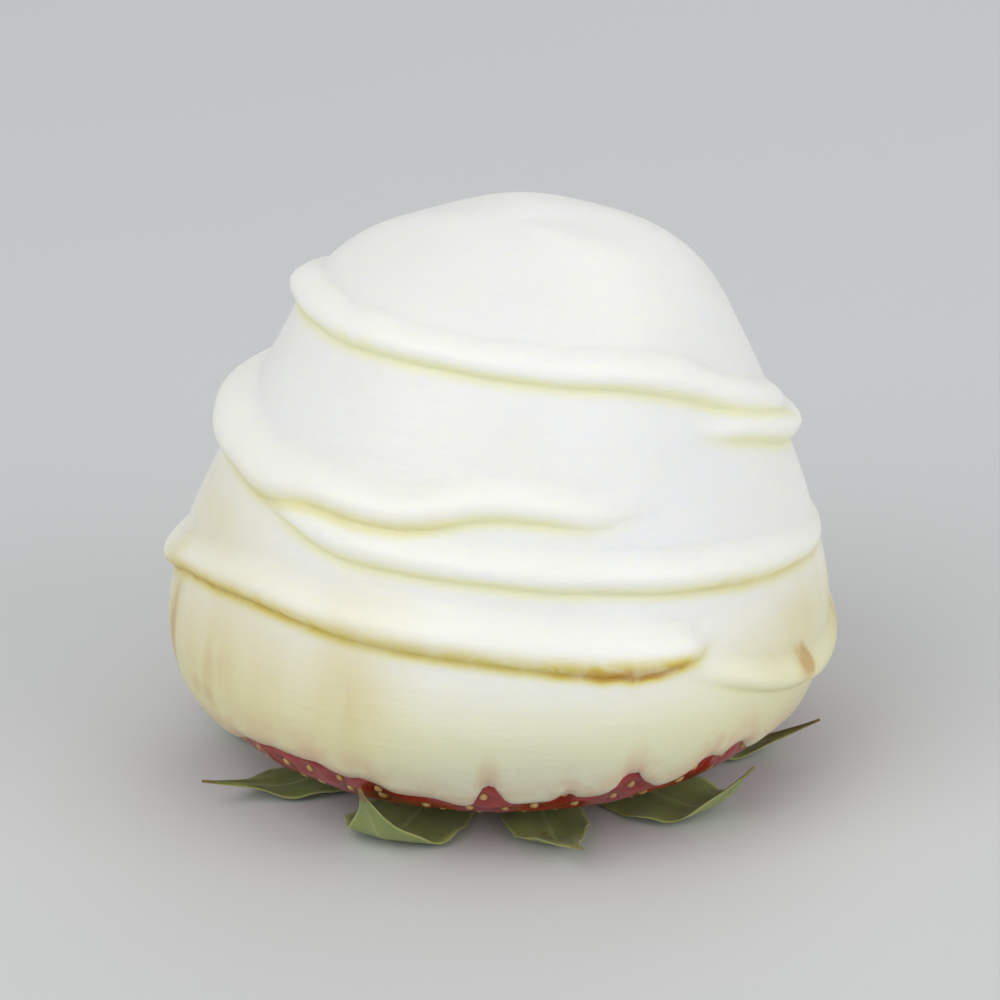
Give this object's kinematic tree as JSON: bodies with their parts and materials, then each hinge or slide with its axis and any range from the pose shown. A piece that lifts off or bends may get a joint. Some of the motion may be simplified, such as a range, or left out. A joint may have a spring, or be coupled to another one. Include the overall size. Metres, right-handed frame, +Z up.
{
  "type": "chocolate coated strawberry",
  "caption": "Whole strawberry dipped in white chocolate with drizzled strands wound round it, standing tip up on its leafy calyx.",
  "frame": {"origin": "centre of the calyx's flat underside, on the surface that the berry stands on", "axes": "+Z up from the stem end to the berry's tip; -Y is the front, the side that the picture shows; +X is its right"},
  "size_m": [0.0564, 0.0565, 0.0465],
  "materials": {
    "white_chocolate": "ivory white chocolate, satin, slightly translucent, warmer where it is thin",
    "strawberry": "moist red strawberry skin with pale seeds in dimples",
    "leaf": "olive green sepals with lighter veins and edges"
  },
  "bodies": {
    "root": {"coat": "white_chocolate", "fruit": "strawberry", "calyx": "leaf"}
  },
  "joints": []
}
